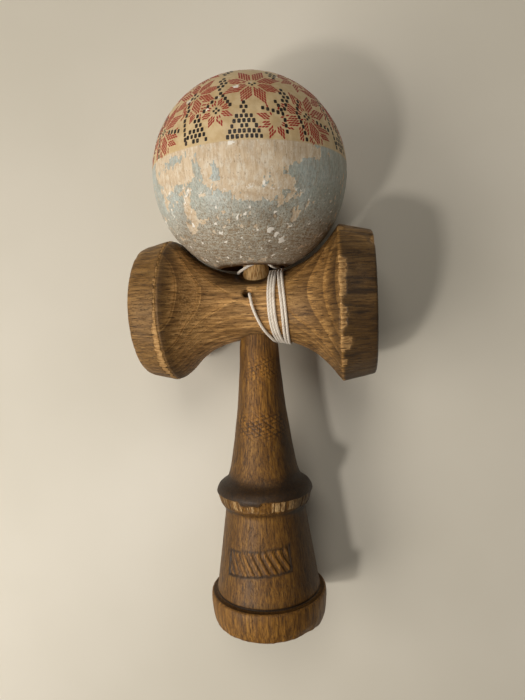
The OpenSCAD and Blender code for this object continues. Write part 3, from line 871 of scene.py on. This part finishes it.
# places on the ball: longitude, latitude, half-width and half-height in degrees
PAINT_LEFT = ((-37, -1, 8, 4), (-18.5, -8, 3.2, 6), (-8.5, -12, 3.2, 5.5), (-36, -18, 9, 5.5),
              (-18.5, -18, 6, 5), (3, -19.5, 5.4, 4.2), (15, -17.5, 5.6, 3.6), (-7, -22, 5, 2.6),
              (33, -12, 7, 5), (42, -14, 14, 7), (60, -2, 7, 5), (-4, -27, 12, 3))
PAINT_LOST = ((41, -1, 17, 3.6), (-30, -29, 2.6, 7.5), (36.5, -32, 3, 5), (26, -20, 2.5, 7), (-34, -37, 3, 3),
              (9, -22, 8, 4))
FLAKES = ((0.5, 1.6, 2.2, 1.5), (20.6, -41.5, 3, 2), (34, -47.5, 2.8, 1.8), (25, -32.3, 2.2, 1.6),
          (5, -33, 1.8, 1.2), (-34, -36, 1.6, 2.2), (27, -45, 1.6, 2), (-12, 24, 1.2, 1.2), (2, 36, 1.6, 1.0))


def ball_fields(p):
    """What is left of the finish at points of the ball, and how far its skin stands proud."""
    lon, lat = ball_angles(p)
    plain_lat = lat
    lon = lon + 4.5 * fractal(p, (3.4, 3.4, 4.2), 4, 97, 0.65)
    lat = lat + 4.0 * fractal(p, (3.0, 3.0, 3.8), 4, 99, 0.65)
    lengthwise = fractal(p, (2.4, 2.4, 6.5), 4, 101, 0.6)
    patches = fractal(p, (6.5, 6.5, 9), 4, 103, 0.55)
    ragged = fractal(p, (0.9, 0.9, 1.7), 3, 105, 0.6)
    keep = 0.30 * patches + 0.66 * lengthwise + 0.66 * ragged
    bare_band = rise(lat, -27, -20) * fall(np.abs(lon + 6), 34, 52)
    keep += 0.40 - 0.82 * bare_band - 0.35 * rise(lat, -20, -8) * rise(patches, -0.2, 0.5)
    for place in PAINT_LEFT:
        keep += 0.85 * spot(lon, lat, *place)
    for place in PAINT_LOST:
        keep -= 0.95 * spot(lon, lat, *place)
    # a crumbled belt below the bare one, in small bits of paint, filler and wood
    belt = hump(lat + 18, 7) * fall(np.abs(lon), 38, 60)
    keep += 1.3 * belt * fractal(p, (2.2, 2.2, 1.8), 3, 125)
    paint_left = rise(keep, 0.04, 0.13)
    edge_wander = 0.45 * line_noise(lon / 3.0, 1, 107, 3)
    printed = rise(plain_lat + edge_wander, PRINT_EDGE - 0.12, PRINT_EDGE + 0.12)
    worn_print = rise(fractal(p, (3.2, 3.2, 3.2), 3, 109), 0.50, 0.60)
    paint_left = paint_left * (1 - printed)
    flake = 0
    for place in FLAKES:
        flake = np.maximum(flake, spot(lon, lat, *place))
    flake = rise(flake + 0.55 * fractal(p, (1.5, 1.5, 1.9), 3, 113), 0.50, 0.58)
    small = rise(fractal(p, (1.3, 1.3, 2.0), 3, 115), 0.38, 0.48) * rise(-lat, 8, 26)
    small = np.maximum(small, 0.66 * belt * rise(fractal(p, (1.2, 1.2, 1.0), 3, 127), 0.05, 0.22))
    rim_of_paint = hump(keep - 0.06, 0.09) * (1 - printed)
    crumbs = rim_of_paint * rise(fractal(p, (1.2, 1.2, 1.6), 2, 117), -0.1, 0.4)
    flake = np.clip(flake + 0.75 * small + 0.55 * crumbs, 0, 1)
    proud = 0.05 * paint_left + 0.06 * printed * (1 - worn_print) + 0.03 * flake
    return {"paint": paint_left, "flake": flake, "print": printed, "worn": worn_print * printed,
            "lat": plain_lat, "proud": proud}


def ball_radius(p):
    """How far the ball's skin is from its middle at points p."""
    dents = np.clip(fractal(p, (7, 7, 7), 3, 121) - 0.25, 0, 1)
    return BALL_R - 0.10 + 0.05 * fractal(p, (1.2, 1.2, 4.5), 3, 123) - 0.5 * dents


def ball_profile():
    mouth_r = BALL_HOLE_R + 0.1
    mouth_at = math.sqrt(BALL_R**2 - mouth_r**2)
    points = [(BALL_R * math.cos(a), BALL_R * math.sin(a)) for a in np.radians(np.linspace(-68.6, 87.6, 240))]
    inner = [(1.7, 29.9, 0.2), (1.35, 29.2, 0.3), (1.3, HOLE_END), (5.0, HOLE_END, 0.6),
             (BALL_HOLE_R - 1, HOLE_END - 0.8, 0.8), (BALL_HOLE_R, HOLE_END - 2, 0.8),
             (BALL_HOLE_R, -mouth_at + 0.6, 0.5), (mouth_r, -mouth_at + 0.05, 0.1)]
    return rounded(points + inner + [points[0]], 0.8, [(-mouth_at - 0.5, -mouth_at + 2, 0.25)])[:-1]


def make_ball():
    obj = lathe("tama_turned", ball_profile(), 480, AT_BALL, closed=True)
    p = points_of(obj)
    distance = np.linalg.norm(p, axis=1)
    skin = distance > BALL_R - 0.25
    fields = ball_fields(p)
    to = np.where(skin, ball_radius(p) + fields["proud"], distance)
    p *= (to / distance)[:, None]
    set_points(obj, p)
    paint(obj, **{name: fields[name] * skin for name in ("paint", "flake", "print", "worn")})
    r, _, h = cylindrical(p)
    # painted shade at the mouth's rim, inside the bore and at the back of the lip; darker towards the mouth end, with
    # grime in patches
    mouth = hump(r - BALL_HOLE_R - 0.4, 1.1) * (h < 0)
    bore = (~skin) * 1.0
    lon, _ = ball_angles(p)
    back_lip = hump(r - BALL_HOLE_R, 3.2) * (h < 0) * rise(p[:, 1], -1.0, 2.0)
    darkening = 0.95 * mouth + 0.9 * back_lip + 0.85 * bore + 0.12 * rise(-fields["lat"], 30, 60)
    darkening += 0.18 * rise(fractal(p, (8, 8, 8), 3, 131), 0.05, 0.5)
    darkening += 0.26 * spot(lon, fields["lat"], 12, -33, 20, 6) * (0.7 + 0.8 * fractal(p, (3, 3, 3), 3, 133))
    paint(obj, dirt=darkening, rub=rise(-fields["lat"], 18, 46))
    return dress(obj, ball_finish(), "ball", "painted_wood", "tama")


def ball_finish():
    """Paint, filler and bare wood by turns, with the print's ground over its far part."""
    m = Nodes("painted_wood_worn", specular=0.4)
    grain = m.noise((1.7, 1.7, 0.14), 5, 0.62, distort=0.2)
    fine = m.noise((4.2, 4.2, 0.40), 4, 0.62)
    speck = m.noise((2.6, 2.6, 1.8), 3, 0.6)
    cloud = m.noise((0.09, 0.09, 0.07), 3, 0.5)
    mottle = m.noise((1.5, 1.5, 0.8), 4, 0.65)
    flaky = m.noise((0.9, 0.9, 0.45), 5, 0.7, (4, 4, 4))
    bare = m.ramp(grain, [(0.32, linear(200, 176, 144)), (0.5, linear(217, 196, 167)), (0.68, linear(228, 211, 186))])
    bare = m.mix(m.fit(flaky, 0.50, 0.58, 0.0, 0.6), bare, linear(232, 222, 204))
    bare = m.mix(m.fit(mottle, 0.44, 0.34, 0.0, 0.45), bare, linear(196, 164, 122))
    coarse = m.noise((2.0, 2.0, 1.5), 3, 0.6, (9, 2, 4))
    pits = m.math("MAXIMUM", m.fit(fine, 0.38, 0.30), m.fit(coarse, 0.34, 0.28))
    bare = m.mix(m.mul(pits, 0.7), bare, linear(140, 112, 76))
    # growth rings round an axis a little beside the hole's
    length = m.node("ShaderNodeVectorMath", operation="LENGTH")
    m.plug(length.inputs[0], m.coords((0.92, 0.92, 0.02), (1.4, -2.6, 0)))
    rings = m.add(length.outputs["Value"], m.mul(m.noise((0.10, 0.10, 0.04), 3, 0.5), 3.0))
    level_lines = m.noise((0.8, 0.8, 4.4), 3, 0.6, (3, 1, 8))
    ring_line = m.mul(m.fit(m.math("PINGPONG", rings, 0.5), 0.30, 0.48), m.fit(speck, 0.36, 0.52))
    bare = m.mix(m.mul(ring_line, 0.22), bare, linear(172, 138, 98))
    rub = m.attribute("rub")
    coat = m.mix(m.fit(cloud, 0.38, 0.62), linear(184, 194, 190), linear(174, 181, 172))
    coat = m.mix(m.mul(rub, 0.75), coat, linear(198, 189, 170))
    coat = m.mix(m.fit(mottle, 0.46, 0.62, 0.0, 0.4), coat, linear(222, 218, 206))
    worn_lines = m.mul(m.fit(grain, 0.50, 0.40), m.fit(speck, 0.36, 0.50))
    broad = m.noise((0.55, 0.55, 0.40), 5, 0.7, (2, 7, 1))
    for marks, least, most, tone in (
            (worn_lines, 0.35, 0.80, (158, 132, 98)), (m.fit(fine, 0.55, 0.66), 0.30, 0.75, (228, 220, 204)),
            (m.fit(fine, 0.47, 0.40), 0.35, 0.9, (96, 74, 48)),
            (m.fit(level_lines, 0.45, 0.38), 0.15, 0.7, (112, 88, 60)),
            (m.fit(broad, 0.50, 0.60), 0.10, 0.40, (150, 126, 94))):
        coat = m.mix(m.mul(marks, m.fit(rub, 0, 1, least, most, False)), coat, linear(*tone))
    coat = m.mix(m.mul(ring_line, m.mul(m.math("POWER", rub, 3.0), 0.5)), coat, linear(140, 108, 74))

    def torn(name, amount, low, high):
        """A painted share, its edge broken up by specks."""
        return m.fit(m.add(m.attribute(name), m.mul(m.sub(speck, 0.5), amount)), low, high)

    coat_here = torn("paint", 0.9, 0.34, 0.56)
    colour = m.mix(coat_here, bare, coat)
    printed = m.attribute("print")
    clouding = m.fit(m.noise((0.5, 0.5, 0.5), 4, 0.6), 0.35, 0.65)
    colour = m.mix(printed, colour, m.mix(clouding, linear(208, 180, 134), linear(218, 194, 152)))
    colour = m.mix(torn("worn", 0.8, 0.45, 0.6), colour, linear(226, 216, 200))
    flake = torn("flake", 0.6, 0.45, 0.6)
    # dirt and painted shade darken the colour
    colour = m.mix(m.attribute("dirt"), colour, m.times(colour, linear(120, 92, 62)))
    colour = m.mix(m.mul(flake, m.fit(m.attribute("dirt"), 0.3, 0.8, 0.94, 0.1)), colour, linear(250, 244, 233))
    rough = m.fit(coat_here, 0.0, 1.0, 0.72, 0.46, False)
    rough = m.mix(printed, rough, (0.42, 0.42, 0.42, 1))
    height = m.add(m.mul(grain, 0.5), m.mul(m.sub(1.0, pits), 0.35))
    height = m.mul(height, m.fit(printed, 0.0, 1.0, 1.0, 0.15, False))
    height = m.add(height, m.mul(m.add(coat_here, flake), 0.45))
    return m.finish(colour, rough, m.bump(height, 0.12, 0.8))


# ---------------- the print: a folk pattern of small blocks
def rosette(radius, per_side, middle=True):
    """An eight-petalled star: (offset, half edges, ink) of its blocks in millimetres."""
    blocks = []
    pitch = radius / (1.848 * per_side + 0.6)
    for k in range(8):
        a, b = (Vector((math.cos(w), math.sin(w))) for w in (k * math.pi / 4, (k + 1) * math.pi / 4))
        out = (a + b).normalized() * pitch * 0.6
        blocks += [(out + (a * (i + 0.5) + b * (j + 0.5)) * pitch, a * pitch * 0.47, b * pitch * 0.43, RED)
                   for i in range(per_side) for j in range(per_side) if i + j > 0]
    if middle:
        blocks += [(Vector(at) * pitch * 0.8, Vector((0.36, 0)), Vector((0, 0.40)), BLACK)
                   for at in ((0, 1), (1, 0), (0, -1), (-1, 0))]
    return blocks


BLACK, RED = 0, 1
# half edges of an upright block
UPRIGHT = (Vector((0.47, 0)), Vector((0, 0.64)))


def lozenge(rows, pitch=(1.28, 1.40)):
    """Upright blocks in staggered rows of the given lengths, the first row on top, with a few left out."""
    return [(Vector(((i - (n - 1) / 2) * pitch[0], -k * pitch[1])), *UPRIGHT, BLACK)
            for k, n in enumerate(rows) for i in range(n) if n < 3 or (3 * i + 2 * k) % 9 != 4]


def chain(*corners, pitch=1.5):
    """Upright blocks along a line through corners, in millimetres."""
    blocks = []
    for a, b in zip(corners, corners[1:]):
        a, b = Vector(a), Vector(b)
        n = max(1, round((b - a).length / pitch))
        blocks += [(a + (b - a) * k / n, *UPRIGHT, BLACK) for k in range(n)]
    return blocks


# (longitude, latitude) in degrees and the motif there; all of it repeats four times round
MOTIFS = [
    ((7.4, 24.2), lozenge((1, 2, 3, 4, 5, 6, 7, 8))), ((-18.6, 19.4), lozenge((1, 2, 3, 4, 5, 6, 6))),
    ((-6.4, 32), chain((0, 0), (3.9, -5.6)) + chain((-1.0, -1.5), (-5.2, -6.6), (-6.8, -10.5))),
    ((-7.6, 46), lozenge((1, 2, 3, 2, 1)) + chain((0, -7.0), (0.6, -8.6))),
    ((31, 34), lozenge((1, 2, 3, 2, 1)) + chain((-0.6, -7.0), (-1.4, -8.6), (-8.0, -6.2))),
    ((26.5, 22), chain((-0.6, 1.5), (1.2, -2.4), (1.6, -9.0))),
    ((64, 36), chain((0, 0), (-1.0, -3), (0, -6), (-0.6, -9), (0.6, -16))),
    ((-50, 27), chain((0, 0), (-1.6, -4.0), (-0.4, -8.0), (0.6, -13))), ((30, 56), lozenge((1, 2, 3, 2, 1))),
    ((-9, 63), lozenge((1, 2, 3, 2, 1))), ((-31, 12), chain((-4.5, 2.2), (3.0, 0.4))),
    ((43, 18), rosette(9.0, 5)), ((13, 38.5), rosette(9.0, 5)), ((-24.5, 34), rosette(8.3, 5)),
    ((-33, 58), rosette(6.8, 4)), ((50, 47), rosette(7.0, 4)), ((10, 71), rosette(5.8, 4)),
    ((-7.6, 20.5), rosette(5.4, 3)), ((23.8, 13.5), rosette(5.6, 3, False)), ((-43, 12), rosette(6.4, 4, False)),
    ((70.0, 24), rosette(4.8, 3))]


def make_print():
    rng = np.random.default_rng(7)

    def at(lon, lat):
        a, b = np.radians(lon), np.radians(lat)
        return np.stack([np.cos(b) * np.sin(a), -np.cos(b) * np.cos(a), np.sin(b)], 1)

    middles, tangents, inks, motifs = [], [], [], []
    for (lon, lat), blocks in MOTIFS:
        for repeat in (-90, 0, 90, 180):
            here = Vector(at(np.array([lon + repeat]), np.array([lat]))[0])
            east = Vector((0, 0, 1)).cross(here).normalized()
            north = here.cross(east)
            for offset, half_a, half_b, ink in blocks:
                swing = offset.length / BALL_R
                way = (east * offset.x + north * offset.y).normalized()
                middle = here * math.cos(swing) + way * math.sin(swing)
                to_east = Vector((0, 0, 1)).cross(middle).normalized()
                turned = middle.cross(to_east)
                edges = [to_east * h.x + turned * h.y for h in (half_a, half_b)]
                low = math.degrees(math.asin(middle.z)) < PRINT_EDGE + 0.5
                if low or middle.z > math.sin(math.radians(86)):
                    continue
                others = np.array([other for other, motif in zip(middles, motifs) if motif != (lon, lat, repeat)])
                room = (0.80 if ink == RED else 0.94) / BALL_R
                if len(others) and np.min(np.linalg.norm(others - np.array(middle), axis=1)) < room:
                    continue
                middles.append(tuple(middle))
                motifs.append((lon, lat, repeat))
                tangents.append(edges)
                inks.append(ink)
    middles, inks = np.array(middles), np.array(inks)
    fields = ball_fields(middles * BALL_R)
    loss = fractal(middles * BALL_R, (2.4, 2.4, 2.4), 3, 141) + 0.5 * fractal(middles * BALL_R, (9, 9, 9), 2, 143)
    keep = (fields["worn"] < 0.5) & (fields["flake"] < 0.5) & (loss < 0.66) & (rng.random(len(inks)) > 0.015)
    vertices, faces, colour, wear = [], [], [], []
    # eight corners of a rounded square
    corners = [(math.cos(a), math.sin(a)) for a in np.radians(np.arange(0, 360, 45) + 22.5)]
    corners = np.array([[math.copysign(abs(v) ** 0.45, v) for v in corner] for corner in corners])
    n = len(corners)
    for middle, (edge_a, edge_b), ink in [(middles[k], tangents[k], inks[k]) for k in np.nonzero(keep)[0]]:
        shape = corners * (1 + 0.10 * (rng.random((n, 2)) - 0.5)) * (1 - 0.12 * rng.random()) / BALL_R
        slip = rng.normal(0, 0.035, 2) / BALL_R
        ring = middle + (shape[:, :1] + slip[0]) * np.array(edge_a) + (shape[:, 1:] + slip[1]) * np.array(edge_b)
        ring /= np.linalg.norm(ring, axis=1)[:, None]
        start = len(vertices)
        vertices += [tuple(v) for v in ring] + [tuple(v) for v in ring] + [tuple(middle)]
        faces += [(start + k, start + (k + 1) % n, start + n + (k + 1) % n, start + n + k) for k in range(n)]
        faces += [(start + n + k, start + n + (k + 1) % n, start + 2 * n) for k in range(n)]
        faces.append(tuple(start + k for k in range(n - 1, -1, -1)))
        colour += [float(ink)] * (2 * n + 1)
        wear += [rng.random()] * (2 * n + 1)
    unit = np.array(vertices)
    skin = ball_radius(unit * BALL_R) + ball_fields(unit * BALL_R)["proud"]
    low = np.zeros(len(unit), bool).reshape(-1, 2 * n + 1)
    low[:, :n] = True
    reach = skin + np.where(low.ravel(), -0.12, 0.022)
    obj = mesh_object("tama_print", unit * reach[:, None] * MM, faces, AT_BALL, smooth=False)
    paint(obj, ink=colour, wear=wear)
    m = Nodes("printed_blocks", roughness=0.45, specular=0.45)
    tint = m.mix(m.fit(m.attribute("ink"), 0.4, 0.6), linear(16, 13, 13), linear(158, 24, 20))
    fading = m.mul(m.attribute("wear"), m.fit(m.attribute("ink"), 0.4, 0.6, 0.08, 0.14))
    faded = m.mix(fading, tint, linear(160, 116, 92))
    rubbed = m.fit(m.noise((2.2, 2.2, 2.2), 4, 0.65), 0.60, 0.70)
    colour_out = m.mix(m.mul(rubbed, 0.45), faded, linear(206, 186, 150))
    grit = m.noise((6, 6, 6), 3, 0.6)
    finish = m.finish(colour_out, m.fit(grit, 0.3, 0.7, 0.38, 0.6, False), m.bump(grit, 0.03, 0.5))
    return dress(obj, finish, "ball", "painted_wood")


# ---------------- the bead inside the ball
def make_bead():
    bore, r, end = 0.8, 3.0, math.radians(60)
    outer = [(1.2 + (r - 1.2) * math.cos(a), BEAD_LENGTH / 2 * (1 + math.sin(a) / math.sin(end)))
             for a in np.linspace(-end, end, 13)]
    loop = [(bore, BEAD_LENGTH - 0.3, 0.2), (bore, 0.3, 0.2)] + outer + [(bore, BEAD_LENGTH - 0.3)]
    place = AT_BALL @ Matrix.Translation((0, 0, BEAD_AT * MM))
    obj = lathe("bead_turned", rounded(loop, 0.35)[:-1], 64, place, closed=True)
    p = points_of(obj)
    raw = 0.2 + fractal(p, (1.2, 1.2, 2.5), 3, 151)
    paint(obj, raw=raw, dirt=0.15 + 0.4 * fractal(p, (2.5, 2.5, 2.5), 3, 153), pale=np.zeros(len(p)))
    return dress(obj, bead_wood, "string_end", "bead_wood", "bead")


make_ball()
make_print()
make_bead()


# ---------------- table and light
def make_floor():
    n, half = 60, 0.9
    line = np.linspace(-half, half, n + 1)
    vertices = [(x, y, 0.0) for y in line for x in line]
    corners = [j * (n + 1) + i for j in range(n) for i in range(n)]
    faces = [(k, k + 1, k + n + 2, k + n + 1) for k in corners]
    obj = mesh_object("table_top", vertices, faces)
    m = Nodes("table_pale", roughness=0.4, specular=0.4)
    cloud = m.noise((0.012, 0.012, 0.012), 3, 0.5)
    colour = m.mix(m.fit(cloud, 0.3, 0.7), linear(214, 208, 194), linear(220, 214, 201))
    speckle = m.noise((0.9, 0.9, 0.9), 2, 0.5)
    rough = m.fit(speckle, 0.3, 0.7, 0.36, 0.46, False)
    obj.data.materials.append(m.finish(colour, rough, m.bump(speckle, 0.02, 0.25)))


def area_light(name, azimuth, elevation, distance, power, size, colour):
    """A round light that looks at the origin."""
    data = bpy.data.lights.new(name, "AREA")
    data.shape, data.size, data.energy, data.color = "DISK", size, power, colour
    obj = add_object(name, data)
    a, e = math.radians(azimuth), math.radians(elevation)
    obj.location = Vector((math.cos(e) * math.cos(a), math.cos(e) * math.sin(a), math.sin(e))) * distance
    obj.rotation_euler = (-obj.location).to_track_quat("-Z", "Y").to_euler()


make_floor()
area_light("key", 220, 60, 0.42, 0.43, 0.042, (1.0, 0.95, 0.88))
area_light("fill_far", 95, 58, 0.7, 1.05, 0.35, (1.0, 0.95, 0.86))
area_light("fill_left", 176, 38, 0.7, 1.15, 0.35, (1.0, 0.94, 0.85))
area_light("fill_near", 212, 42, 0.7, 1.65, 0.35, (1.0, 0.94, 0.85))
world = bpy.data.worlds.new("studio")
world.use_nodes = True
sky = world.node_tree.nodes["Background"]
sky.inputs["Color"].default_value, sky.inputs["Strength"].default_value = (1.0, 0.93, 0.84, 1), 0.085
bpy.context.scene.world = world
